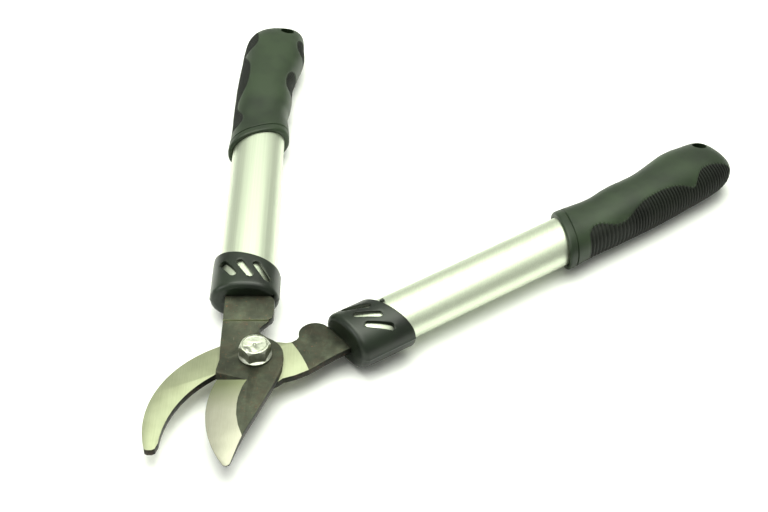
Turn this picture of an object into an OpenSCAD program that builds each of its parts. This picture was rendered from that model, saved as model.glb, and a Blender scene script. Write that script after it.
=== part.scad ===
// Compact bypass loppers, lying flat and open.
// The origin is on the pivot axis, on the upper face of the hook plate; +Z is up through the
// bolt head and +Y runs along the handle tube of the blade half.

/* [Pivot] */
// Diameter of the pivot bolt shank
bolt_d = 8; // [6:0.5:10]
// Diameter of the flange under the bolt head
flange_d = 17.9; // [15:0.1:22]
// Width across the flats of the bolt head
head_af = 15; // [12:0.5:15]
// Width across the flats of the nut
hex_af = 13; // [10:0.5:16]
// Height of the bolt head above its flange
head_h = 6.2; // [4:0.1:8]
// Thickness of the bolt flange
flange_t = 1.6; // [1:0.1:2.5]
// Radial clearance of the shank in both bores
pivot_fit = 0.05; // [0.02:0.01:0.1]
// Gap between the plates and under the flange
plate_gap = 0.3; // [0.1:0.05:0.5]
// Outside diameter of the washer under the nut
washer_d = 16; // [13:0.5:20]
// Thickness of the washer
washer_t = 1.6; // [1:0.1:2]
// Height of the lock nut with its collar
nut_h = 8; // [6:0.5:9]

/* [Blade] */
// Thickness of the cutting blade round the pivot
blade_t = 3.6; // [3:0.1:4.5]
// Thickness of the blade's tang
tang_t = 4.6; // [3.6:0.1:6]
// Radius of the curved cutting edge
edge_r = 69.5; // [60:0.5:90]
// Width of the ground bevel
bevel_w = 16; // [10:0.5:20]
// Thickness left at the cutting edge
edge_t = 0.3; // [0.1:0.05:0.8]
// Radius of the blade's round shoulder beside the bolt
blade_boss_r = 15; // [12:0.5:18]

/* [Hook] */
// Thickness of the hook plate
hook_t = 3.7; // [3:0.1:5]
// Radius of the hook plate round the pivot
hook_boss_r = 19.2; // [16:0.2:22]
// Radius of the round lobe on the hook's tang
lobe_r = 9; // [7:0.5:11]

/* [Handles] */
// Angle between the two handle tubes as drawn
open_angle = 54.7; // [20:0.1:80]
// Half width of the oval tube
tube_a = 15.9; // [12:0.1:18]
// Half height of the oval tube
tube_b = 11.5; // [9:0.1:14]
// Wall thickness of the tube
tube_wall = 1.3; // [1:0.1:2]
// Distance of the blade half's tube axis from the pivot
blade_axis = 9; // [5:0.1:15]
// Distance of the hook half's tube axis from the pivot
hook_axis = 15.7; // [10:0.1:20]
// Distance from the pivot to the end of each tube inside its grip
tube_end = 270; // [240:1:275]

/* [Collars] */
// Distance from the pivot to the mouth of the collar
collar_start = 47.5; // [46:0.5:52]
// Length of the collar along the tube, on its centre line
collar_len = 28.5; // [26:0.5:34]
// Wall of the collar at the sides of the tube
collar_wall = 3.4; // [2:0.1:5]
// Length of each slot in the collar
slot_len = 16.5; // [10:0.5:18]
// Width of each slot in the collar
slot_w = 4.4; // [3:0.1:6]

/* [Grips] */
// Distance from the pivot to the middle of the blade grip's slanted front edge
grip_start = 196; // [190:1:205]
// How much further out the grip sits on the hook half
hook_grip_out = 4.5; // [0:0.5:8]
// Half width of the cuff at the front of the grip
cuff_a = 18.8; // [17:0.1:21]
// Half height of the cuff
cuff_b = 13.3; // [12.5:0.1:16]
// Radius of the hanging hole
hang_r = 4.5; // [3:0.1:5]

/* [Hidden] */
$fn = 96;
// small gap between pieces that are fixed to each other
fit = 0.08;
// pad for cuts that run past a face
past = 1;
hook_turn = -open_angle;

blade_z = plate_gap;
flange_z = blade_z + blade_t + plate_gap;
washer_z = -hook_t - washer_t;
nut_z = washer_z - nut_h;
nut_collar_h = 2.4;
bolt_tip_z = nut_z - 0.5;

// cutting edge: a circle about this centre, with the cone of the bevel about the same axis
edge_c = [45.9, -38.7];
// spine of the blade from the shoulder down to the tip
spine = [[14.9, -3], [14.5, -9], [13.4, -14], [11.8, -19], [9.9, -24.6], [7.4, -31], [3.3, -41.8],
         [-0.9, -52.7], [-2.8, -57.6], [-5, -64.5], [-7, -71.4], [-8.2, -75.8]];
tang_left = -19.3;
bulge_x = 8.3;
step_y = 27.5;

// inner and outer circles of the hook's jaw
jaw_outer_c = [9.7, -46.7];
jaw_outer_r = 65;
jaw_inner_c = [21.2, -63.3];
jaw_inner_r = 67.1;

inner_a = tube_a - tube_wall;
inner_b = tube_b - tube_wall;
tube_start = collar_start + 7;
tang_end = tube_start + 25;
pin_s = tube_start + 17.7;
pin_w = 4.5;
pin_r = 2;
collar_a = tube_a + collar_wall;
collar_b = tube_b + collar_wall / 2;
edge_slope = 16;
cuff_slope = 22.8;
nose = 3.2;
// the tang's opening goes through the collar's front wall and stops in the tube's bore
mouth_len = tube_start - collar_start + 1;
mouth_gap = 0.3;
nut_fit = 0.06;
head_turn = 12;
nut_turn = 20;
ring_h = 1.9;
ring_seat = 0.6;
ring_out = 1.2;
slot_pitch = 9.5;
slot_lag = 1.2;
slot_tilt = 31;
slot_mid = collar_start + 15;
plug_len = 12;
plug_cap = 2;
plug_wall = 2.5;
blade_mouth_w = 7.4;
hang_w = 13.3;
hang_d = 124;

function oval(a, b, n = 72) = [for (i = [0:n - 1]) [a * cos(i * 360 / n), b * sin(i * 360 / n)]];
function arc(c, r, a0, a1, n = 12) =
    [for (i = [0:n]) let (t = a0 + (a1 - a0) * i / n) [c[0] + r * cos(t), c[1] + r * sin(t)]];
// a bar of oval section along +Y from s0 to s1, centred on w = 0
module oval_bar(a, b, s0, s1) {
    translate([0, s1, 0]) rotate([90, 0, 0]) linear_extrude(s1 - s0) polygon(oval(a, b));
}

// w runs towards the other handle, s along the tube away from the pivot
module blade_half() { translate([-blade_axis, 0, 0]) children(); }
module hook_half() {
    rotate([0, 0, hook_turn]) translate([hook_axis, 0, 0]) mirror([1, 0, 0]) children();
}

module blade_outline() {
    difference() {
        union() {
            // the leaf: left side is the cutting edge, right side the spine
            intersection() {
                translate(edge_c) circle(r = edge_r, $fn = 180);
                polygon(concat([[-30, -3], [0, -3]], spine,
                    [[-8.9, -77.1], [-10.3, -77.8], [-12.7, -76.9], [-30, -75]]));
            }
            circle(r = blade_boss_r);
            // body and tang
            polygon(concat(
                [[-20.2, -15], [2, -13.6], [1.2, 1], [9.3, 11.6], [5.6, 14.2]],
                arc([3.9, 19.6], 3, 225, 150, 5),
                [[1.9, 22.6], [4.2, 25.6], [7.6, 29.8], [bulge_x, 32], [bulge_x, 43.9],
                 [7, 46.2], [5.4, 47.6], [3.2, 49.4], [3.2, tang_end], [tang_left, tang_end],
                 [tang_left, 9], [-18.9, -3.5], [tang_left - 0.8, -10.5]]));
        }
        circle(r = bolt_d / 2 + pivot_fit);
        translate([-blade_axis, 0]) pin_holes();
    }
}

// material ground away above the cutting edge, starting at a sloping shoulder
module bevel_cut() {
    intersection() {
        translate([edge_c[0], edge_c[1], blade_z]) rotate_extrude($fn = 180)
            polygon([[edge_r - bevel_w, blade_t], [edge_r, edge_t], [edge_r + 20, edge_t],
                     [edge_r + 20, blade_t + 3], [edge_r - bevel_w, blade_t + 3]]);
        translate([tang_left, -13.6, blade_z + blade_t]) rotate([0, 0, -17.8]) rotate([61, 0, 0])
            translate([-20, -90, 0]) cube([90, 90, 80]);
    }
}

module cutting_blade() color("DimGray") {
    difference() {
        translate([0, 0, blade_z]) linear_extrude(tang_t) blade_outline();
        // the face round the pivot is lower than the tang
        translate([-40, step_y, blade_z + blade_t]) rotate([90, 0, 0]) rotate([0, 90, 0])
            linear_extrude(80) polygon([[0, 0], [1.2, tang_t], [-130, tang_t], [-130, 0]]);
        bevel_cut();
    }
}

module hook_outline() {
    difference() {
        union() {
            // the curved jaw
            difference() {
                intersection() {
                    translate(jaw_outer_c) circle(r = jaw_outer_r, $fn = 180);
                    polygon([[-8, 20], [-60, 20], [-60, -60], [-54.6, -63], [-52.6, -65.4],
                             [-51.2, -66.1], [-48.8, -66.1], [-47.2, -65.2], [-46.2, -62],
                             [-30, -30], [-8, -8]]);
                }
                translate(jaw_inner_c) circle(r = jaw_inner_r, $fn = 180);
            }
            translate([0.3, -1.5]) circle(r = hook_boss_r);
            polygon([[8, -16.9], [15.6, -13.5], [21.4, -11.3], [28.6, -7.1], [34, -2.8],
                     [32, 22], [23.2, 22], [23.3, 20.4], [21.3, 16.7], [18.5, 14.7], [15.8, 14.2],
                     [10.1, 14.9], [0, 0]]);
            // tang
            rotate([0, 0, hook_turn]) {
                translate([0.5, 38]) circle(r = lobe_r);
                polygon([[22, 22], [20.9, 38], [20.9, tang_end], [2.5, tang_end], [2.5, 46.8],
                         [1.5, 44], [-4, 32], [12, 24]]);
            }
        }
        circle(r = bolt_d / 2 + pivot_fit);
        rotate([0, 0, hook_turn]) translate([hook_axis, 0]) mirror([1, 0]) pin_holes();
    }
}

module hook_blade() color("Gray")
    translate([0, 0, -hook_t]) linear_extrude(hook_t) hook_outline();

module pivot_bolt() color("Silver") {
    difference() {
        union() {
            translate([0, 0, bolt_tip_z + 1]) cylinder(h = flange_z - bolt_tip_z, r = bolt_d / 2);
            translate([0, 0, bolt_tip_z]) cylinder(h = 1 + 0.01, r1 = bolt_d / 2 - 1, r2 = bolt_d / 2);
            translate([0, 0, flange_z]) cylinder(h = flange_t * 0.5, r = flange_d / 2);
            translate([0, 0, flange_z + flange_t * 0.5])
                cylinder(h = flange_t * 0.5, r1 = flange_d / 2, r2 = flange_d / 2 - 1.6);
            // head with its corners turned off at the top
            intersection() {
                translate([0, 0, flange_z + flange_t * 0.5]) rotate([0, 0, head_turn])
                    cylinder(h = head_h + flange_t * 0.5, d = head_af / cos(30), $fn = 6);
                translate([0, 0, flange_z - past])
                    cylinder(h = head_h + flange_t + past, r1 = head_af, r2 = head_af / 2);
            }
        }
        translate([0, 0, flange_z + flange_t + head_h]) sphere(r = 0.9);
    }
}

module pivot_washer() color("Silver") translate([0, 0, washer_z + fit])
    difference() {
        cylinder(h = washer_t - 2 * fit, d = washer_d);
        translate([0, 0, -past]) cylinder(h = washer_t + 2 * past, r = bolt_d / 2 + 0.2);
    }

module pivot_nut() color("Silver") translate([0, 0, nut_z])
    difference() {
        union() {
            translate([0, 0, nut_collar_h]) intersection() {
                rotate([0, 0, nut_turn]) cylinder(h = nut_h - nut_collar_h, d = hex_af / cos(30), $fn = 6);
                cylinder(h = nut_h, r1 = hex_af / 2, r2 = 10);
            }
            cylinder(h = nut_collar_h + 0.01, r = hex_af / 2 - 0.3);
        }
        translate([0, 0, -past]) cylinder(h = nut_h + 2 * past, r = bolt_d / 2 + nut_fit);
        // seat of the nylon ring
        translate([0, 0, ring_seat]) cylinder(h = ring_h, r = hex_af / 2 - ring_out);
    }

module pivot_nut_ring() color("RoyalBlue") translate([0, 0, nut_z + ring_seat + fit])
    difference() {
        cylinder(h = ring_h - 2 * fit, r = hex_af / 2 - ring_out - fit);
        translate([0, 0, -past]) cylinder(h = ring_h + 2 * past, r = bolt_d / 2 + nut_fit);
    }

module pin_holes() {
    for (k = [-1, 1]) translate([k * pin_w, pin_s]) circle(r = pin_r + pivot_fit);
}

// the four pieces between tang and tube, and the tube itself, in handle coordinates
module tube() {
    difference() {
        oval_bar(tube_a, tube_b, tube_start, tube_end);
        oval_bar(inner_a, inner_b, tube_start - past, tube_end + past);
        translate([0, 0, -20]) linear_extrude(40) pin_holes();
    }
}

module packing(z0, z1) {
    difference() {
        intersection() {
            oval_bar(inner_a - fit, inner_b - fit, tube_start, tang_end);
            translate([-20, tube_start - past, z0]) cube([40, tang_end, z1 - z0]);
        }
        translate([0, 0, -20]) linear_extrude(40) pin_holes();
    }
}

// the pins stop flush inside the oval of the tube
module tang_pins() {
    pin_h = tube_b * sqrt(1 - pow((pin_w + pin_r) / tube_a, 2));
    for (k = [-1, 1]) translate([k * pin_w, pin_s, -pin_h]) cylinder(h = 2 * pin_h, r = pin_r);
}

module tube_plug() {
    difference() {
        oval_bar(inner_a - fit, inner_b - fit, tube_end - plug_len, tube_end);
        oval_bar(inner_a - plug_wall, inner_b - plug_wall,
            tube_end - plug_len - past, tube_end - plug_cap);
    }
}

// w0, w1 and z0, z1: sides, bottom and top of the tang in the collar's end wall
module collar(w0, w1, z0, z1) {
    difference() {
        intersection() {
            union() {
                hull() {
                    oval_bar(collar_a - nose, collar_b - nose, collar_start, collar_start + 0.1);
                    oval_bar(collar_a - 0.9, collar_b - 0.9, collar_start + 1.2, collar_start + 1.3);
                    oval_bar(collar_a, collar_b, collar_start + nose, collar_start + nose + 0.1);
                }
                oval_bar(collar_a, collar_b, collar_start + nose, collar_start + collar_len + 10);
            }
            // the end towards the grip is cut on a slant, longest on the outer side
            translate([0, collar_start + collar_len, 0]) rotate([0, 0, -edge_slope])
                translate([-40, -60, -30]) cube([80, 60, 60]);
        }
        oval_bar(tube_a + fit, tube_b + fit, tube_start - fit, tube_end);
        translate([w0 - mouth_gap, collar_start - past, z0 - mouth_gap])
            cube([w1 - w0 + 2 * mouth_gap, mouth_len + past, z1 - z0 + 2 * mouth_gap]);
        for (k = [-1:1]) translate([k * slot_pitch, slot_mid - k * slot_lag, -30])
            rotate([0, 0, slot_tilt])
            linear_extrude(60) {
                translate([-slot_w / 2, -slot_len / 2 + slot_w / 2])
                    square([slot_w, slot_len - slot_w]);
                for (e = [-1, 1]) translate([0, e * (slot_len - slot_w) / 2]) circle(r = slot_w / 2);
            }
    }
}

// stations of the grip: distance behind its front edge, outer side, inner side, half height
grip_stations = [
    [-12, -cuff_a, cuff_a, cuff_b], [4, -cuff_a, cuff_a, cuff_b], [13, -18.1, 18, 13],
    [23, -17.8, 17.1, 13], [34, -17.9, 17, 13.5],
    [44, -17.8, 18.2, 13.9], [52, -17.7, 18.8, 14.1], [60, -17.6, 18.6, 14.2],
    [70, -17.2, 18.9, 14.2], [80, -16.8, 20.6, 14.2], [90, -16.2, 22.9, 14.1],
    [99, -15.9, 24.8, 13.9], [107, -15.4, 25.3, 13.5], [114, -14.8, 24.8, 13],
    [120, -13.8, 24.6, 12.3], [126, -11.8, 24.2, 11], [130, -9.4, 23, 9.3], [133, -6.2, 21.2, 7],
    [135, -2, 18, 4.5], [136, 3, 14, 2.2]];
grip_sides = 36;

// a fuller oval than an ellipse, as a hand grip has
function full(c, n = 2.3) = sign(c) * pow(abs(c), 2 / n);
function station_ring(st) = [for (k = [0:grip_sides - 1]) let (t = k * 360 / grip_sides)
    [(st[1] + st[2]) / 2 + (st[2] - st[1]) / 2 * full(cos(t)), st[0], -st[3] * full(sin(t))]];

module full_bar(a, b, s0, s1) {
    translate([0, s1, 0]) rotate([90, 0, 0]) linear_extrude(s1 - s0)
        polygon([for (k = [0:71]) [a * full(cos(k * 5)), b * full(sin(k * 5))]]);
}

module grip_body() {
    n = grip_sides;
    m = len(grip_stations);
    polyhedron(
        points = [for (st = grip_stations) each station_ring(st)],
        faces = concat(
            [[for (k = [0:n - 1]) k]],
            [for (i = [0:m - 2], k = [0:n - 1]) [i * n + k, (i + 1) * n + k, i * n + (k + 1) % n]],
            [for (i = [0:m - 2], k = [0:n - 1])
                [(i + 1) * n + k, (i + 1) * n + (k + 1) % n, i * n + (k + 1) % n]],
            [[for (k = [n - 1:-1:0]) (m - 1) * n + k]]));
}

// start is the distance from the pivot to the middle of the slanted front edge
module grip(start) translate([0, start, 0]) {
    difference() {
        grip_body();
        cuff_slab(-40, 40);
        // groove round the cuff
        difference() {
            cuff_slab(5.4, 1.3);
            full_bar(cuff_a - 1, cuff_b - 1, -30, 40);
        }
        oval_bar(tube_a + fit, tube_b + fit, -30, tube_end - start + fit);
        translate([hang_w, hang_d, -30]) cylinder(h = 60, r = hang_r);
    }
}

// the slanted slice that starts d behind the grip's front edge and is t thick
module cuff_slab(d, t) {
    translate([0, d, 0]) rotate([0, 0, cuff_slope])
        translate([-40, 0, -30]) cube([80, t * cos(cuff_slope), 60]);
}

module blade_tube() color("LightGray") blade_half() tube();
module blade_packing_upper() color("DarkSlateGray") blade_half()
    packing(blade_z + tang_t + fit, tube_b);
module blade_packing_lower() color("DarkSlateGray") blade_half() packing(-tube_b, blade_z - fit);
module blade_tang_pins() color("Silver") blade_half() tang_pins();
module blade_collar() color("DarkSlateGray") blade_half()
    collar(tang_left + blade_axis, blade_mouth_w + blade_axis, blade_z, blade_z + tang_t);
module blade_tube_plug() color("DarkSlateGray") blade_half() tube_plug();
module blade_grip() color("DarkSlateGray") blade_half() grip(grip_start);

module hook_tube() color("LightGray") hook_half() tube();
module hook_packing_upper() color("DarkSlateGray") hook_half() packing(fit, tube_b);
module hook_packing_lower() color("DarkSlateGray") hook_half() packing(-tube_b, -hook_t - fit);
module hook_tang_pins() color("Silver") hook_half() tang_pins();
module hook_collar() color("DarkSlateGray") hook_half()
    collar(hook_axis - 20.9, hook_axis - 2.5, -hook_t, 0);
module hook_tube_plug() color("DarkSlateGray") hook_half() tube_plug();
module hook_grip() color("DarkSlateGray") hook_half() grip(grip_start + hook_grip_out);

cutting_blade();
hook_blade();
pivot_bolt();
pivot_washer();
pivot_nut();
pivot_nut_ring();
blade_tube();
blade_packing_upper();
blade_packing_lower();
blade_tang_pins();
blade_collar();
blade_tube_plug();
blade_grip();
hook_tube();
hook_packing_upper();
hook_packing_lower();
hook_tang_pins();
hook_collar();
hook_tube_plug();
hook_grip();
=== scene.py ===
import math
import bmesh
import bpy
from mathutils import Matrix, Vector


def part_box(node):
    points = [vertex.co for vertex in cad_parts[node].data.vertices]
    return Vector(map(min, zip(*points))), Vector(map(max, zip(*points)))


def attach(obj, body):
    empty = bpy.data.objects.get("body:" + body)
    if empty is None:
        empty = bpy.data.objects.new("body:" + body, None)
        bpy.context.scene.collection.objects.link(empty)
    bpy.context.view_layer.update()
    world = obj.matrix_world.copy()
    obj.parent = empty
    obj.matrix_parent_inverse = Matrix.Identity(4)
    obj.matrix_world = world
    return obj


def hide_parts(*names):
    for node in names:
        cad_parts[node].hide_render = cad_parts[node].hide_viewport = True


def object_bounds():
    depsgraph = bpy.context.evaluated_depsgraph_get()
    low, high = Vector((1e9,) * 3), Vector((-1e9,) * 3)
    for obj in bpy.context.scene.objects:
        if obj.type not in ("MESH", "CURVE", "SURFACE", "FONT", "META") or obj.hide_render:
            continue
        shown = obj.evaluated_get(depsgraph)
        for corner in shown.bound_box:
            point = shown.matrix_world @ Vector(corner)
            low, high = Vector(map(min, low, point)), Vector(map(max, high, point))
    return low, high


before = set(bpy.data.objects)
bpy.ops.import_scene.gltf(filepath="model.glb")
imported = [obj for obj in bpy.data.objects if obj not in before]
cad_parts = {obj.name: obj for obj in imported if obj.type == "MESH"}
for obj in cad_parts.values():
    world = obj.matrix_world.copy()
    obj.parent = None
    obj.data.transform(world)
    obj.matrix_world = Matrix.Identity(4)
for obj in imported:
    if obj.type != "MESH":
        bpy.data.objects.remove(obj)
cadLow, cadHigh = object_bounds()
mm = 0.001
blade, hook = "blade_half", "hook_half"

# where the two handles run: turn about the pivot, tube axis beside it, and which way is inwards
halves = {
    "blade": {"body": blade, "turn": 0.0, "axis": -9.0, "inward": 1, "gripStart": 196.0},
    "hook": {"body": hook, "turn": -54.7, "axis": 15.7, "inward": -1, "gripStart": 200.5},
}


def halfMatrix(half):
    # handle coordinates: x towards the other handle, y along the tube, z up, in millimetres
    h = halves[half]
    return (Matrix.Rotation(math.radians(h["turn"]), 4, "Z") @ Matrix.Translation((h["axis"] * mm, 0, 0))
            @ Matrix.Diagonal((h["inward"] * mm, mm, mm, 1)))


def linear(hexColour):
    # sRGB hex to the linear values that the shaders work in
    rgb = [int(hexColour[i:i + 2], 16) / 255 for i in (1, 3, 5)]
    return tuple(c / 12.92 if c <= 0.04045 else ((c + 0.055) / 1.055) ** 2.4 for c in rgb) + (1.0,)


def newMaterial(name):
    m = bpy.data.materials.new(name)
    m.use_nodes = True
    m.node_tree.nodes.clear()
    return m


def addNode(material, kind, links=None, **settings):
    # one node with its settings; links maps an input to a value or to another node's output
    node = material.node_tree.nodes.new(kind)
    for key, value in settings.items():
        setattr(node, key, value)
    for key, value in (links or {}).items():
        socket = node.inputs[key]
        if isinstance(value, bpy.types.NodeSocket):
            material.node_tree.links.new(value, socket)
        else:
            socket.default_value = value
    return node


def setRamp(node, stops):
    ramp = node.color_ramp
    while len(ramp.elements) < len(stops):
        ramp.elements.new(0.5)
    for element, (at, colour) in zip(ramp.elements, stops):
        element.position = at
        element.color = colour
    return node


def finishPiece(name, bm, material, body, replaced=(), smooth=35):
    # closed seams, outward normals, shaded smooth below the given angle
    bmesh.ops.remove_doubles(bm, verts=bm.verts, dist=1e-7)
    bmesh.ops.recalc_face_normals(bm, faces=bm.faces)
    mesh = bpy.data.meshes.new(name)
    bm.to_mesh(mesh)
    bm.free()
    for m in material if isinstance(material, list) else [material]:
        mesh.materials.append(m)
    piece = bpy.data.objects.new(name, mesh)
    bpy.context.scene.collection.objects.link(piece)
    for p in mesh.polygons:
        p.use_smooth = True
    mesh.set_sharp_from_angle(angle=math.radians(smooth))
    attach(piece, body)
    if replaced:
        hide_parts(*replaced)
    return piece


def placed(bm, matrix):
    # a mirrored half turns the faces round, so they are pointed outwards again
    bm.transform(matrix)
    bm.normal_update()
    bmesh.ops.recalc_face_normals(bm, faces=bm.faces)
    return bm


def bakeModifiers(piece, smooth=35):
    # keeps what the modifiers make, as the piece's own mesh
    bpy.context.view_layer.update()
    graph = bpy.context.evaluated_depsgraph_get()
    mesh = bpy.data.meshes.new_from_object(piece.evaluated_get(graph))
    piece.modifiers.clear()
    piece.data = mesh
    for p in mesh.polygons:
        p.use_smooth = True
    mesh.set_sharp_from_angle(angle=math.radians(smooth))
    return piece


def cutWith(piece, bm, matrix):
    # takes the closed shape in bm, given in handle millimetres, out of the piece
    placed(bm, matrix)
    mesh = bpy.data.meshes.new("cutter")
    bm.to_mesh(mesh)
    bm.free()
    cutter = bpy.data.objects.new("cutter", mesh)
    bpy.context.scene.collection.objects.link(cutter)
    cut = piece.modifiers.new("cut", "BOOLEAN")
    cut.operation, cut.solver, cut.object = "DIFFERENCE", "EXACT", cutter
    bakeModifiers(piece)
    bpy.data.objects.remove(cutter)


def softened(node, name, material, body, width, segments=2, angle=30):
    # a CAD node's shape with its sharp edges broken, as a deburred or moulded piece has
    bm = bmesh.new()
    bm.from_mesh(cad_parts[node].data)
    bmesh.ops.remove_doubles(bm, verts=bm.verts, dist=1e-6)
    bmesh.ops.dissolve_limit(bm, angle_limit=math.radians(1), verts=bm.verts, edges=bm.edges)
    piece = finishPiece(name, bm, material, body, (node,))
    bevel = piece.modifiers.new("bevel", "BEVEL")
    bevel.width, bevel.segments, bevel.limit_method = width * mm, segments, "ANGLE"
    bevel.angle_limit, bevel.use_clamp_overlap, bevel.harden_normals = math.radians(angle), True, False
    return bakeModifiers(piece)


def oval(angle, a, b, fullness=2.0):
    # a point on an oval; a fullness above 2 is squarer than an ellipse
    c, s = math.cos(angle), math.sin(angle)
    power = 2 / fullness
    return (a * math.copysign(abs(c) ** power, c), b * math.copysign(abs(s) ** power, s))


def sleeve(rings, segments):
    # a tube of rings: rings[i](angle) gives handle coordinates for ring i; both ends are closed
    bm = bmesh.new()
    bmesh.ops.create_cone(bm, cap_ends=True, cap_tris=False, segments=segments,
                          radius1=1, radius2=1, depth=1)
    upright = [e for e in bm.edges if abs(e.verts[0].co.z - e.verts[1].co.z) > 0.5]
    bmesh.ops.subdivide_edges(bm, edges=upright, cuts=len(rings) - 2, use_grid_fill=True)
    for v in bm.verts:
        i = round((v.co.z + 0.5) * (len(rings) - 1))
        v.co = Vector(rings[i](math.atan2(v.co.y, v.co.x)))
    return bm


def objectPoint(m):
    return addNode(m, "ShaderNodeTexCoord").outputs["Object"]


def millimetres(m, point, scale=(1, 1, 1), turn=0.0):
    # object coordinates in millimetres, turned to lie along a handle
    turned = addNode(m, "ShaderNodeMapping", {"Vector": point, "Rotation": (0, 0, math.radians(turn)),
                                              "Scale": tuple(1000 * s for s in scale)})
    return turned.outputs["Vector"]


def blackOxideSteel(name, dark, middle, light, scratchTurn=24):
    # carbon steel blackened in hot salts: dark olive brown, satin, faint rubbed patches and rust freckles
    m = newMaterial(name)
    point = millimetres(m, objectPoint(m))
    cloud = addNode(m, "ShaderNodeTexNoise", {"Vector": point, "Scale": 0.09, "Detail": 5.0,
                                              "Roughness": 0.62})
    base = setRamp(addNode(m, "ShaderNodeValToRGB", {"Fac": cloud.outputs["Fac"]}),
                   [(0.3, linear(dark)), (0.52, linear(middle)), (0.72, linear(light))])
    freckle = addNode(m, "ShaderNodeTexNoise", {"Vector": point, "Scale": 0.55, "Detail": 3.0,
                                                "Roughness": 0.7})
    rust = setRamp(addNode(m, "ShaderNodeValToRGB", {"Fac": freckle.outputs["Fac"]}),
                   [(0.62, (0, 0, 0, 1)), (0.74, (1, 1, 1, 1))])
    rusted = addNode(m, "ShaderNodeMix", {"Factor": rust.outputs["Color"], "A": base.outputs["Color"],
                                          "B": linear("#6b4a35")}, data_type="RGBA")
    # a brown bloom where the oil wore off, in patches about 10 mm across
    bloom = addNode(m, "ShaderNodeTexNoise", {"Vector": point, "Scale": 0.1, "Detail": 6.0, "Roughness": 0.7,
                                              "Distortion": 0.6})
    patch = setRamp(addNode(m, "ShaderNodeValToRGB", {"Fac": bloom.outputs["Fac"]}),
                    [(0.5, (0, 0, 0, 1)), (0.66, (0.55, 0.55, 0.55, 1))])
    rusted = addNode(m, "ShaderNodeMix", {"Factor": patch.outputs["Color"], "A": rusted.outputs["Result"],
                                          "B": linear("#3f352a")}, data_type="RGBA")
    # hair scratches, 0.3 mm apart at the closest
    scratch = addNode(m, "ShaderNodeTexNoise",
                      {"Vector": millimetres(m, objectPoint(m), (3.0, 0.12, 1), scratchTurn), "Scale": 1.0,
                       "Detail": 2.0})
    line = setRamp(addNode(m, "ShaderNodeValToRGB", {"Fac": scratch.outputs["Fac"]}),
                   [(0.7, (0, 0, 0, 1)), (0.76, (0.3, 0.3, 0.3, 1))])
    colour = addNode(m, "ShaderNodeMix", {"Factor": line.outputs["Color"], "A": rusted.outputs["Result"],
                                          "B": linear("#9a9c86")}, data_type="RGBA")
    rough = addNode(m, "ShaderNodeMapRange", {"Value": cloud.outputs["Fac"], "To Min": 0.36, "To Max": 0.55})
    fine = addNode(m, "ShaderNodeTexNoise", {"Vector": point, "Scale": 4.0, "Detail": 2.0})
    bump = addNode(m, "ShaderNodeBump", {"Height": fine.outputs["Fac"], "Strength": 0.25, "Distance": 0.0001})
    shader = addNode(m, "ShaderNodeBsdfPrincipled",
                     {"Base Color": colour.outputs["Result"], "Metallic": 0.7,
                      "Roughness": rough.outputs["Result"], "Normal": bump.outputs["Normal"]})
    addNode(m, "ShaderNodeOutputMaterial", {"Surface": shader.outputs["BSDF"]})
    return m


def groundSteel(name, turn, light, dark, grain=0.25, paintedReflection=None):
    # steel ground on a belt: bright satin with fine straight scores; grain is the millimetres between scores
    m = newMaterial(name)
    scores = addNode(m, "ShaderNodeTexNoise",
                     {"Vector": millimetres(m, objectPoint(m), (1 / grain, 0.03, 1 / grain), turn),
                      "Scale": 1.0, "Detail": 3.0, "Roughness": 0.6})
    cloud = addNode(m, "ShaderNodeTexNoise", {"Vector": millimetres(m, objectPoint(m)), "Scale": 0.06,
                                              "Detail": 3.0})
    both = addNode(m, "ShaderNodeMath", {0: scores.outputs["Fac"], 1: cloud.outputs["Fac"]}, operation="ADD")
    mean = addNode(m, "ShaderNodeMath", {0: both.outputs[0], 1: 0.5}, operation="MULTIPLY")
    base = setRamp(addNode(m, "ShaderNodeValToRGB", {"Fac": mean.outputs[0]}),
                   [(0.36, linear(dark)), (0.62, linear(light))])
    colour = base.outputs["Color"]
    if paintedReflection:
        # painted reflection: the colour turns greener and darker towards the shoulder, where the upper bevel
        # reflects its surroundings
        split = addNode(m, "ShaderNodeSeparateXYZ", {"Vector": objectPoint(m)})
        near = addNode(m, "ShaderNodeMapRange", {"Value": split.outputs["Y"], "From Min": -0.040,
                                                 "From Max": -0.020})
        colour = addNode(m, "ShaderNodeMix", {"Factor": near.outputs["Result"], "A": colour,
                                              "B": linear(paintedReflection)}, data_type="RGBA").outputs["Result"]
    rough = addNode(m, "ShaderNodeMapRange", {"Value": scores.outputs["Fac"], "To Min": 0.46, "To Max": 0.6})
    bump = addNode(m, "ShaderNodeBump", {"Height": scores.outputs["Fac"], "Strength": 0.2,
                                         "Distance": 0.00006})
    shader = addNode(m, "ShaderNodeBsdfPrincipled",
                     {"Base Color": colour, "Metallic": 0.85,
                      "Roughness": rough.outputs["Result"], "Normal": bump.outputs["Normal"]})
    addNode(m, "ShaderNodeOutputMaterial", {"Surface": shader.outputs["BSDF"]})
    return m


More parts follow.
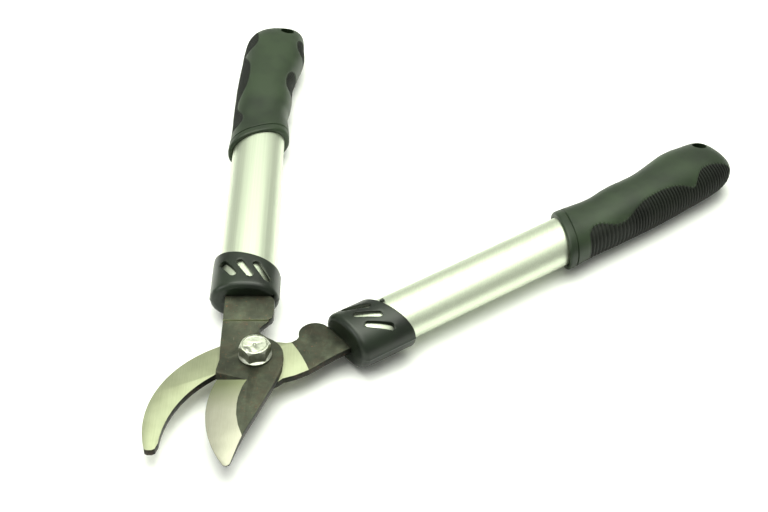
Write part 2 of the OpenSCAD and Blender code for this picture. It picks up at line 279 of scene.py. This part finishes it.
def satinAnodisedAluminium(turn):
    # drawn 6063 tube, etched and clear anodised: pale satin, die lines along the tube
    m = newMaterial("satinAnodisedAluminium")
    lines = addNode(m, "ShaderNodeTexNoise",
                    {"Vector": millimetres(m, objectPoint(m), (1.6, 0.006, 1.6), turn), "Scale": 1.0,
                     "Detail": 3.0, "Roughness": 0.55})
    base = setRamp(addNode(m, "ShaderNodeValToRGB", {"Fac": lines.outputs["Fac"]}),
                   [(0.35, linear("#ccd3c0")), (0.65, linear("#d6ddca"))])
    rough = addNode(m, "ShaderNodeMapRange", {"Value": lines.outputs["Fac"], "To Min": 0.4, "To Max": 0.5})
    bump = addNode(m, "ShaderNodeBump", {"Height": lines.outputs["Fac"], "Strength": 0.04,
                                         "Distance": 0.0001})
    shader = addNode(m, "ShaderNodeBsdfPrincipled",
                     {"Base Color": base.outputs["Color"], "Metallic": 1.0,
                      "Roughness": rough.outputs["Result"], "Normal": bump.outputs["Normal"]})
    addNode(m, "ShaderNodeOutputMaterial", {"Surface": shader.outputs["BSDF"]})
    return m


def brightZinc():
    # zinc plated steel, clear passivated: bright, a little uneven where the barrel marked it
    m = newMaterial("brightZinc")
    point = millimetres(m, objectPoint(m))
    cloud = addNode(m, "ShaderNodeTexNoise", {"Vector": point, "Scale": 0.5, "Detail": 4.0})
    base = setRamp(addNode(m, "ShaderNodeValToRGB", {"Fac": cloud.outputs["Fac"]}),
                   [(0.35, linear("#a9ac9e")), (0.65, linear("#bfc2b4"))])
    rough = addNode(m, "ShaderNodeMapRange", {"Value": cloud.outputs["Fac"], "To Min": 0.24, "To Max": 0.36})
    bump = addNode(m, "ShaderNodeBump", {"Height": cloud.outputs["Fac"], "Strength": 0.1, "Distance": 0.0002})
    shader = addNode(m, "ShaderNodeBsdfPrincipled",
                     {"Base Color": base.outputs["Color"], "Metallic": 1.0,
                      "Roughness": rough.outputs["Result"], "Normal": bump.outputs["Normal"]})
    addNode(m, "ShaderNodeOutputMaterial", {"Surface": shader.outputs["BSDF"]})
    return m


def mouldedNylon(name, dark, light, grit=0.5, rough=(0.34, 0.5), bumpStrength=0.18):
    # injection moulded plastic off a sparked tool: even grit, soft gloss
    m = newMaterial(name)
    point = millimetres(m, objectPoint(m))
    grain = addNode(m, "ShaderNodeTexNoise", {"Vector": point, "Scale": 1 / grit, "Detail": 3.0})
    cloud = addNode(m, "ShaderNodeTexNoise", {"Vector": point, "Scale": 0.05, "Detail": 3.0})
    base = setRamp(addNode(m, "ShaderNodeValToRGB", {"Fac": cloud.outputs["Fac"]}),
                   [(0.35, linear(dark)), (0.65, linear(light))])
    gloss = addNode(m, "ShaderNodeMapRange", {"Value": cloud.outputs["Fac"], "To Min": rough[0],
                                              "To Max": rough[1]})
    bump = addNode(m, "ShaderNodeBump", {"Height": grain.outputs["Fac"], "Strength": bumpStrength,
                                         "Distance": 0.0001})
    shader = addNode(m, "ShaderNodeBsdfPrincipled",
                     {"Base Color": base.outputs["Color"], "Roughness": gloss.outputs["Result"], "IOR": 1.45,
                      "Normal": bump.outputs["Normal"]})
    addNode(m, "ShaderNodeOutputMaterial", {"Surface": shader.outputs["BSDF"]})
    return m


def softGripRubber(name, dark, light, rough):
    # thermoplastic rubber moulded over the tube: dark, matt, a broad greenish sheen
    m = newMaterial(name)
    point = millimetres(m, objectPoint(m))
    grain = addNode(m, "ShaderNodeTexNoise", {"Vector": point, "Scale": 2.2, "Detail": 3.0})
    cloud = addNode(m, "ShaderNodeTexNoise", {"Vector": point, "Scale": 0.04, "Detail": 3.0})
    base = setRamp(addNode(m, "ShaderNodeValToRGB", {"Fac": cloud.outputs["Fac"]}),
                   [(0.35, linear(dark)), (0.65, linear(light))])
    gloss = addNode(m, "ShaderNodeMapRange", {"Value": cloud.outputs["Fac"], "To Min": rough,
                                              "To Max": rough + 0.14})
    bump = addNode(m, "ShaderNodeBump", {"Height": grain.outputs["Fac"], "Strength": 0.2, "Distance": 0.0001})
    shader = addNode(m, "ShaderNodeBsdfPrincipled",
                     {"Base Color": base.outputs["Color"], "Roughness": gloss.outputs["Result"], "IOR": 1.4,
                      "Normal": bump.outputs["Normal"]})
    addNode(m, "ShaderNodeOutputMaterial", {"Surface": shader.outputs["BSDF"]})
    return m


steelBlack = blackOxideSteel("blackOxideFace", "#292a21", "#3b3e32", "#4c5142")
# a darker copy of the blackened steel, put on the faces that stand on edge as painted shade
steelShadedSide = blackOxideSteel("blackOxidePaintedShadeSide", "#0d0e0a", "#15170f", "#1f2119", 80)
# the bevel's ground steel, with a painted reflection that greens and darkens it near the shoulder
bevelSteel = groundSteel("groundBevelSteel", 88, "#aaa899", "#9a998a", paintedReflection="#7b8063")
jawSteel = groundSteel("groundJawSteel", 40, "#9ca086", "#888c72")
tubeMetal = {half: satinAnodisedAluminium(-halves[half]["turn"]) for half in halves}
zinc = brightZinc()
collarPlastic = mouldedNylon("mouldedCollarNylon", "#0c120b", "#152012", rough=(0.3, 0.42))
packingPlastic = mouldedNylon("mouldedPackingNylon", "#141613", "#1e211c", 0.7)
ringPlastic = mouldedNylon("mouldedRingNylon", "#1b3f8f", "#2651a6", 0.4)
rubber = softGripRubber("softGripRubber", "#1b2617", "#2a3823", 0.4)
ribRubber = softGripRubber("softGripRubberRibbed", "#0b0f09", "#12170f", 0.55)
print("materials made")


# upright parts of the normals that pick out the bevel's cone and the step of the tang, in metres along Y
bladeLook = {"edgeRound": 0.25, "bevelNormals": (0.955, 0.993), "bevelTop": -0.0145,
             "stepHighlightNormals": (0.2, 0.98), "stepHighlightAt": (0.0265, 0.0295), "shadedSideBelow": 0.4}
# the bright part ends on an arc: its centre and radius in millimetres, and the angle of each chord
hookLook = {"edgeRound": 0.35, "grindCentre": (-53.1, -31.8), "grindRadius": 85.5, "chord": 4,
            "flatAbove": 0.9, "shadedSideBelow": 0.4}


def between(value, limits):
    return limits[0] < value < limits[1]


def makeBlade():
    look = bladeLook
    piece = softened("cutting_blade", "bladeSteel", [steelBlack, bevelSteel, steelShadedSide], blade,
                     look["edgeRound"])
    # the bevel leans 12 degrees and was ground bright; the step gets the same bright steel as a painted
    # highlight along its ridge; the rest stays black
    for p in piece.data.polygons:
        up, along = p.normal.z, p.center.y
        bevel = between(up, look["bevelNormals"]) and along < look["bevelTop"]
        step = between(up, look["stepHighlightNormals"]) and between(along, look["stepHighlightAt"])
        # faces standing on edge take the darker copy: painted shade on the sides
        p.material_index = 1 if bevel or step else 2 if abs(up) < look["shadedSideBelow"] else 0


def makeHook():
    look = hookLook
    piece = softened("hook_blade", "hookSteel", [steelBlack, jawSteel, steelShadedSide], hook,
                     look["edgeRound"])
    bm = bmesh.new()
    bm.from_mesh(piece.data)
    # the grinding belt stopped on an arc, cut here as short chords so that each face has one finish
    centre = Vector((*look["grindCentre"], 0)) * mm
    radius = look["grindRadius"] * mm
    halfChord = look["chord"] / 2
    for k in range(-6, 14):
        a = math.radians(look["chord"] * k + halfChord)
        n = Vector((math.cos(a), math.sin(a), 0))
        at = centre + n * radius * math.cos(math.radians(halfChord))
        near = [f for f in bm.faces if abs(f.normal.z) > look["flatAbove"]]
        geom = near + list({e for f in near for e in f.edges}) + list({v for f in near for v in f.verts})
        bmesh.ops.bisect_plane(bm, geom=geom, plane_co=at, plane_no=n, dist=1e-6)
    for f in bm.faces:
        up = abs(f.normal.z)
        ground = up > look["flatAbove"] and (f.calc_center_median().xy - centre.xy).length < radius
        # faces standing on edge take the darker copy: painted shade on the sides
        f.material_index = 1 if ground else 2 if up < look["shadedSideBelow"] else 0
    bm.to_mesh(piece.data)
    bm.free()


makeBlade()
makeHook()
print("blade and hook made")


tubeSize = {"a": 15.9, "b": 11.5, "wall": 1.3, "from": 54.5, "to": 270.0, "segments": 128, "chamfer": 0.3}


def makeTube(half):
    t = tubeSize
    # out along the outside, round the end, back along the inside
    path = [(t["from"], t["chamfer"]), (t["from"] + t["chamfer"], 0), (t["to"] - t["chamfer"], 0),
            (t["to"], t["chamfer"]), (t["to"], t["wall"]), (t["from"], t["wall"])]
    bm = bmesh.new()
    ring = bmesh.ops.create_circle(bm, segments=t["segments"], radius=1)["verts"]
    angles = {v: math.atan2(v.co.y, v.co.x) for v in ring}
    loops = []
    for n, (y, inset) in enumerate(path):
        if n:
            # the extruded ring starts on the last one, so each point's angle is read from its place
            out = bmesh.ops.extrude_edge_only(bm, edges=loops[-1])["geom"]
            ring = [g for g in out if isinstance(g, bmesh.types.BMVert)]
            a, b = t["a"] - path[n - 1][1], t["b"] - path[n - 1][1]
            angles = {v: math.atan2(v.co.z / b, v.co.x / a) for v in ring}
        for v in ring:
            v.co = Vector(((t["a"] - inset) * math.cos(angles[v]), y, (t["b"] - inset) * math.sin(angles[v])))
        here = set(ring)
        loops.append([e for e in bm.edges if e.verts[0] in here and e.verts[1] in here])
    bmesh.ops.bridge_loops(bm, edges=loops[0] + loops[-1])
    placed(bm, halfMatrix(half))
    finishPiece(half + "TubeMetal", bm, tubeMetal[half], halves[half]["body"],
                (half + "_tube",), 40)


for half in halves:
    makeTube(half)
print("tubes made")


collarSize = {"a": 19.3, "b": 13.2, "from": 47.5, "to": 76.0, "slope": -0.287, "wallTo": 54.42,
              "boreA": 15.98, "boreB": 11.58, "nose": 3.4, "rim": 1.0, "segments": 120,
              "slot": (4.4, 16.5), "slotTurn": 31, "slotAt": [(-9.5, 63.7), (0, 62.5), (9.5, 61.3)],
              "ridge": 0.35, "edgeRound": 0.35, "mouthDeep": 9, "mouthRound": 0.6,
              # opening for the tang: sides, bottom and top
              "mouth": {"blade": (-10.6, 16.7, 0.0, 5.2), "hook": (-5.5, 13.5, -4.0, 0.3)}}


def roundedSlot(width, length, height):
    # a slot with round ends, centred on the origin and standing along Z
    bm = bmesh.new()
    bmesh.ops.create_circle(bm, cap_ends=True, segments=32, radius=width / 2)
    for v in bm.verts:
        if abs(v.co.y) > 1e-6:
            v.co.y += math.copysign((length - width) / 2, v.co.y)
    bmesh.ops.translate(bm, verts=bm.verts, vec=(0, 0, -height / 2))
    out = bmesh.ops.extrude_face_region(bm, geom=list(bm.faces))["geom"]
    bmesh.ops.translate(bm, verts=[g for g in out if isinstance(g, bmesh.types.BMVert)], vec=(0, 0, height))
    return bm


def collarRing(y, a, b, lean, fullness=2.12):
    # the far end leans with the rim's slant, the nose end doesn't
    def place(angle):
        x, z = oval(angle, a, b, fullness)
        if a > collarSize["boreA"] + 1:
            # the ridge where the mould halves met
            x += math.copysign(collarSize["ridge"] * math.exp(-(z / 0.5) ** 2), x)
        return (x, y + lean * x, z)
    return place


def collarLean(y):
    # square to the tube at the nose, slanted like the rim from 20 mm behind it
    return collarSize["slope"] * min(1, max(0, (y - 52) / 20))


def makeCollar(half):
    c = collarSize
    # out of the tube's bore, round the slanted rim, along the outside and round the nose to the front
    rings = [collarRing(y, c["boreA"], c["boreB"], collarLean(y), 2) for y in (c["wallTo"], 60, 66, 72)]
    rim, r = c["to"], c["rim"]
    rings += [collarRing(rim - 0.35, c["boreA"], c["boreB"], c["slope"], 2),
              collarRing(rim, c["boreA"] + 0.35, c["boreB"] + 0.35, c["slope"], 2)]
    for t in [math.radians(15 * k) for k in range(7)]:
        inset = r * (1 - math.sin(t))
        y = rim - r * (1 - math.cos(t))
        rings.append(collarRing(y, c["a"] - inset, c["b"] - inset * 0.8, c["slope"]))
    rings += [collarRing(y, c["a"], c["b"], collarLean(y)) for y in (73.5, 71, 68, 65, 62, 59, 56, 53)]
    nose = c["nose"]
    for t in [math.radians(9 * k) for k in range(11)]:
        inset = nose * (1 - math.cos(t))
        rings.append(collarRing(c["from"] + nose * (1 - math.sin(t)), c["a"] - inset, c["b"] - inset, 0))
    rings += [collarRing(c["from"], c["a"] * k, c["b"] * k, 0) for k in (0.7, 0.5, 0.3)]
    bm = sleeve(rings, c["segments"])
    placed(bm, halfMatrix(half))
    piece = finishPiece(half + "CollarShell", bm, collarPlastic, halves[half]["body"],
                        (half + "_collar",), 50)
    for x, y in c["slotAt"]:
        turn = Matrix.Translation((x, y, 0)) @ Matrix.Rotation(math.radians(c["slotTurn"]), 4, "Z")
        cutWith(piece, roundedSlot(*c["slot"], 60), halfMatrix(half) @ turn)
    left, right, low, high = c["mouth"][half]
    mouth = bmesh.new()
    bmesh.ops.create_cube(mouth, size=1)
    # the cutter is 12 mm long: it starts in front of the collar and ends past the wall, in the tube's bore
    bmesh.ops.scale(mouth, verts=mouth.verts, vec=(right - left, 12, high - low))
    bmesh.ops.bevel(mouth, geom=mouth.edges[:], affect="EDGES", offset=c["mouthRound"], segments=3,
                    profile=0.5, material=-1)
    bmesh.ops.translate(mouth, verts=mouth.verts,
                        vec=((left + right) / 2, c["from"] + c["mouthDeep"] - 6, (low + high) / 2))
    cutWith(piece, mouth, halfMatrix(half))
    # every moulded edge is a little round
    bevel = piece.modifiers.new("bevel", "BEVEL")
    bevel.width, bevel.segments, bevel.limit_method = c["edgeRound"] * mm, 2, "ANGLE"
    bevel.angle_limit = math.radians(40)
    bakeModifiers(piece, 60)


# gate mark left on the collar's rim by the mould, a small tapered tab standing on the tube
nubSize = {"at": (5.0, 75.6, 12.6), "size": (2.2, 3.2, 1.8), "taper": 0.7, "edgeRound": 0.45}


def makeNub(half):
    n = nubSize
    bm = bmesh.new()
    bmesh.ops.create_cube(bm, size=1)
    bmesh.ops.scale(bm, verts=bm.verts, vec=n["size"])
    top = [v for v in bm.verts if v.co.z > 0]
    bmesh.ops.scale(bm, verts=top, vec=(n["taper"], n["taper"], 1))
    bmesh.ops.bevel(bm, geom=bm.edges[:], affect="EDGES", offset=n["edgeRound"], segments=3, profile=0.5,
                    material=-1)
    bmesh.ops.translate(bm, verts=bm.verts, vec=n["at"])
    placed(bm, halfMatrix(half))
    finishPiece(half + "CollarGateNub", bm, collarPlastic, halves[half]["body"])


for half in halves:
    makeCollar(half)
makeNub("hook")
print("collars made")


gripSize = {
    "segments": 132, "slope": 0.42, "fullness": 2.3, "tubeA": 15.98, "tubeB": 11.58, "tubeTo": 270.1,
    "lip": 1.5, "grooveAt": 6.0, "grooveWide": 1.3, "grooveDeep": 0.9,
    "ribPitch": 2.3, "ribDeep": 1.3, "ribsFrom": 16.0, "ribsTo": 130.5, "innerPads": (48, 124),
    "hangAt": (13.3, 124.0), "hangRadius": 4.5,
    # distance behind the front edge, outer side, inner side, half height
    "stations": [(-12, -18.8, 18.8, 13.3), (4, -18.8, 18.8, 13.3), (13, -18.1, 18.0, 13.0),
                 (23, -17.8, 17.1, 13.0), (34, -17.9, 17.0, 13.5), (44, -17.8, 18.2, 13.9),
                 (52, -17.7, 18.8, 14.1), (60, -17.6, 18.6, 14.2), (70, -17.2, 18.9, 14.2),
                 (80, -16.8, 20.6, 14.2), (90, -16.2, 22.9, 14.1), (99, -15.9, 24.8, 13.9),
                 (107, -15.4, 25.3, 13.5), (114, -14.8, 24.8, 13.0), (120, -13.8, 24.6, 12.3),
                 (126, -11.8, 24.2, 11.0), (130, -9.4, 23.0, 9.3), (133, -6.2, 21.2, 7.0),
                 (135, -2.0, 18.0, 4.5), (136, 3.0, 14.0, 2.2), (136.3, 6.0, 11.0, 0.9)],
    # how far over the top the ribs reach, as the sideways place of their upper end
    "ribReach": [(12, -19), (15, -15.0), (18, -11.8), (21, -10.8), (25, -11.4), (29, -13.4), (33, -15.0),
                 (38, -15.2), (44, -13.6), (51, -11.4), (59, -9.8), (69, -9.2), (78, -9.6), (86, -11.2),
                 (92, -13.4), (95, -13.6), (98, -12.0), (102, -9.0), (106, -6.8), (111, -5.8), (116, -6.0),
                 (121, -6.8), (126, -8.0), (130, -9.5), (133, -19)],
    # two small pads on the inner side, under the fingers
    "innerReach": [(50, 24), (54, 18), (59, 15.6), (66, 15.2), (73, 16.4), (79, 19.5), (83, 25), (94, 30),
                   (98, 24.5), (102, 21.8), (108, 20.8), (114, 21.4), (118, 24), (122, 30)],
}


def alongCurve(points, at):
    # smooth value between the points of a table, on each column
    if at <= points[0][0]:
        return points[0][1:]
    for i in range(len(points) - 1):
        if at <= points[i + 1][0]:
            a, b = points[max(i - 1, 0)], points[i]
            c, d = points[i + 1], points[min(i + 2, len(points) - 1)]
            t = (at - b[0]) / (c[0] - b[0])
            width = c[0] - b[0]
            out = []
            for k in range(1, len(b)):
                m0 = (c[k] - a[k]) / max(c[0] - a[0], 1e-9) * width
                m1 = (d[k] - b[k]) / max(d[0] - b[0], 1e-9) * width
                out.append((2 * t ** 3 - 3 * t ** 2 + 1) * b[k] + (t ** 3 - 2 * t ** 2 + t) * m0
                           + (3 * t ** 2 - 2 * t ** 3) * c[k] + (t ** 3 - t ** 2) * m1)
            return out
    return points[-1][1:]


def blendStep(low, high, x):
    # 0 below low, 1 above high, smooth between them
    t = min(1, max(0, (x - low) / (high - low)))
    return t * t * (3 - 2 * t)


def gripLean(d):
    # the front edge is slanted, and the ribs straighten up behind it
    return gripSize["slope"] * (1 - blendStep(14, 46, d))


def gripRing(start, d, inset=0.0):
    # one ring of the outside, d behind the front edge; grooves and ribs are pressed into it
    g = gripSize
    outer, inner, high = alongCurve(g["stations"], d)
    reach, innerReach = alongCurve(g["ribReach"], d)[0], alongCurve(g["innerReach"], d)[0]
    lean = gripLean(d)
    # flat-topped ribs with narrow grooves between them
    wave = 0.5 - 0.5 * math.cos(2 * math.pi * (d - g["ribsFrom"]) / g["ribPitch"])
    wave = blendStep(0.35, 0.75, wave)

    def place(angle):
        x, z = oval(angle, (inner - outer) / 2 - inset, max(high - inset, 0.4), g["fullness"])
        x += (outer + inner) / 2
        ribbed = blendStep(-0.5, 0.5, reach - x) * blendStep(g["ribsFrom"] - 1, g["ribsFrom"], d)
        ribbed += blendStep(-0.5, 0.5, x - innerReach)
        ribbed *= 1 - blendStep(g["ribsTo"] - 1, g["ribsTo"], d)
        press = g["ribDeep"] * wave * ribbed
        length = math.hypot(x, z) or 1
        return (x * (1 - press / length), start + d + lean * x, z * (1 - press / length))
    return place


def makeGrip(half):
    g = gripSize
    start = halves[half]["gripStart"]

    def boreRing(y, grow, slanted):
        def place(angle):
            x, z = oval(angle, g["tubeA"] + grow, g["tubeB"] + grow)
            return (x, y + g["slope"] * x * slanted, z)
        return place

    rings = [boreRing(g["tubeTo"], 0, False), boreRing(start + 30, 0, False), boreRing(start + 12, 0, False),
             boreRing(start + 1.0, 0, True), boreRing(start + 0.25, 0.15, True)]
    # the lip's round edge
    for t in [math.radians(angle) for angle in (0, 22, 45, 68, 90)]:
        rings.append(gripRing(start, g["lip"] * (1 - math.cos(t)), g["lip"] * (1 - math.sin(t))))
    rings += [gripRing(start, d) for d in (2.4, 3.6, 4.6, 5.2)]
    at, wide, deep = g["grooveAt"], g["grooveWide"] / 2, g["grooveDeep"]
    rings += [gripRing(start, at + k * wide, deep * s) for k, s in
              ((-1.0, 0.0), (-0.8, 0.3), (-0.5, 0.85), (0, 1.0), (0.5, 0.85), (0.8, 0.3), (1.0, 0.0))]
    rings += [gripRing(start, d) for d in (7.2, 8.4, 10, 12, 13.5, 14.6, 15.2)]
    # eight rings to a rib
    first, step = g["ribsFrom"] - 0.3, g["ribPitch"] / 8
    count = round((g["ribsTo"] + 0.5 - first) / step)
    rings += [gripRing(start, first + step * k) for k in range(count + 1)]
    rings += [gripRing(start, d) for d in (131.6, 132.2, 132.8, 133.4, 134, 134.5, 135, 135.4, 135.7, 136,
                                           136.2, 136.3)]
    bm = sleeve(rings, g["segments"])
    placed(bm, halfMatrix(half))
    piece = finishPiece(half + "GripRubber", bm, [rubber, ribRubber], halves[half]["body"],
                        (half + "_grip",), 80)
    # the hanging hole
    hole = bmesh.new()
    bmesh.ops.create_cone(hole, cap_ends=True, segments=48, radius1=g["hangRadius"], radius2=g["hangRadius"],
                          depth=60)
    cutWith(piece, hole, halfMatrix(half) @ Matrix.Translation((g["hangAt"][0], start + g["hangAt"][1], 0)))
    # the ribbed pads take a darker, rougher rubber
    back = halfMatrix(half).inverted()
    for p in piece.data.polygons:
        p.use_smooth = True
        at = back @ p.center
        d = at.y - start
        # the lean depends on the place it leads to, so a few rounds settle it
        for _ in range(6):
            d = at.y - start - gripLean(d) * at.x
        outerPad = g["ribsFrom"] - 0.5 < d < g["ribsTo"] and at.x < alongCurve(g["ribReach"], d)[0] + 0.2
        innerPad = between(d, g["innerPads"]) and at.x > alongCurve(g["innerReach"], d)[0] - 0.2
        if outerPad or innerPad:
            p.material_index = 1
    piece.data.set_sharp_from_angle(angle=math.radians(70))


for half in halves:
    makeGrip(half)
print("grips made")


# a shallow round groove in the top of the bolt head
boltGroove = {"radius": 6.5, "section": 0.42}


def makeBolt():
    g = boltGroove
    bolt = softened("pivot_bolt", "pivotBoltZinc", zinc, hook, 0.3, 3, 25)
    ring = bmesh.new()
    bmesh.ops.create_circle(ring, segments=12, radius=g["section"])
    bmesh.ops.rotate(ring, verts=ring.verts, matrix=Matrix.Rotation(math.radians(90), 3, "X"))
    bmesh.ops.translate(ring, verts=ring.verts, vec=(g["radius"], 0, 0))
    bmesh.ops.spin(ring, geom=ring.verts[:] + ring.edges[:], cent=(0, 0, 0), axis=(0, 0, 1),
                   angle=math.radians(360), steps=64, use_merge=True)
    bmesh.ops.remove_doubles(ring, verts=ring.verts, dist=1e-4)
    cutWith(bolt, ring, Matrix.Translation((0, 0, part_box("pivot_bolt")[1].z)) @ Matrix.Scale(mm, 4))


makeBolt()
softened("pivot_nut", "pivotNutZinc", zinc, hook, 0.25, 2, 25)
softened("pivot_washer", "pivotWasherZinc", zinc, hook, 0.2, 2, 40)
# what stays a CAD node only gets its finish
for name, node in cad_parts.items():
    look = (ringPlastic if name == "pivot_nut_ring" else zinc if name.endswith("_pins")
            else packingPlastic if "packing" in name or "plug" in name else None)
    if look:
        node.data.materials.clear()
        node.data.materials.append(look)
print("fasteners made")


stageLook = {"floor": "#ffffff", "floorZ": cadLow.z - 0.0001, "air": "#f7fbf0", "world": 0.5}


def makeStage():
    m = newMaterial("matBackdropPaper")
    # white seamless paper, a trace of tooth
    grain = addNode(m, "ShaderNodeTexNoise", {"Vector": millimetres(m, objectPoint(m)), "Scale": 0.8})
    bump = addNode(m, "ShaderNodeBump", {"Height": grain.outputs["Fac"], "Strength": 0.02,
                                         "Distance": 0.0001})
    shader = addNode(m, "ShaderNodeBsdfPrincipled",
                     {"Base Color": linear(stageLook["floor"]), "Roughness": 0.9, "Specular IOR Level": 0.2,
                      "Normal": bump.outputs["Normal"]})
    addNode(m, "ShaderNodeOutputMaterial", {"Surface": shader.outputs["BSDF"]})
    bm = bmesh.new()
    bmesh.ops.create_grid(bm, x_segments=1, y_segments=1, size=6)
    mesh = bpy.data.meshes.new("floor")
    bm.to_mesh(mesh)
    bm.free()
    mesh.materials.append(m)
    floor = bpy.data.objects.new("floor", mesh)
    floor.location.z = stageLook["floorZ"]
    bpy.context.scene.collection.objects.link(floor)

    world = bpy.data.worlds.new("studio")
    world.use_nodes = True
    world.node_tree.nodes["Background"].inputs["Color"].default_value = linear(stageLook["air"])
    world.node_tree.nodes["Background"].inputs["Strength"].default_value = stageLook["world"]
    bpy.context.scene.world = world


def areaLight(name, at, target, size, power, colour="#ffffff"):
    data = bpy.data.lights.new(name, "AREA")
    data.shape, data.size, data.size_y, data.energy = "RECTANGLE", size[0], size[1], power
    data.color = linear(colour)[:3]
    lamp = bpy.data.objects.new(name, data)
    lamp.location = at
    lamp.rotation_euler = (Vector(target) - Vector(at)).to_track_quat("-Z", "Y").to_euler()
    bpy.context.scene.collection.objects.link(lamp)


makeStage()
middle = (0.08, 0.12, 0)
areaLight("topSoftbox", (0.05, 0.75, 1.5), middle, (1.8, 1.2), 22, "#f8ffee")
areaLight("overheadSoftbox", (0.1, 0.05, 1.9), middle, (1.8, 1.8), 34, "#fbfff4")
areaLight("sideSoftbox", (-1.3, -0.3, 0.9), middle, (0.7, 0.7), 7)

# a long lens looking down at the tool: pan, dip below the horizontal and roll in degrees
cameraLook = {"at": (0.06021, -0.62881, 0.58604), "pan": -0.73, "dip": 39.23, "roll": 0.62,
              "lens": 75, "sensor": 36}


def makeCamera():
    c = cameraLook
    camera = bpy.data.objects.new("camera", bpy.data.cameras.new("camera"))
    bpy.context.scene.collection.objects.link(camera)
    camera.data.lens, camera.data.sensor_width, camera.data.clip_start = c["lens"], c["sensor"], 0.05
    camera.matrix_world = (Matrix.Translation(c["at"]) @ Matrix.Rotation(math.radians(c["pan"]), 4, "Z")
                           @ Matrix.Rotation(math.radians(90 - c["dip"]), 4, "X")
                           @ Matrix.Rotation(math.radians(c["roll"]), 4, "Z"))
    bpy.context.scene.camera = camera


makeCamera()
bpy.context.scene.view_settings.view_transform = "Standard"
print("stage made")
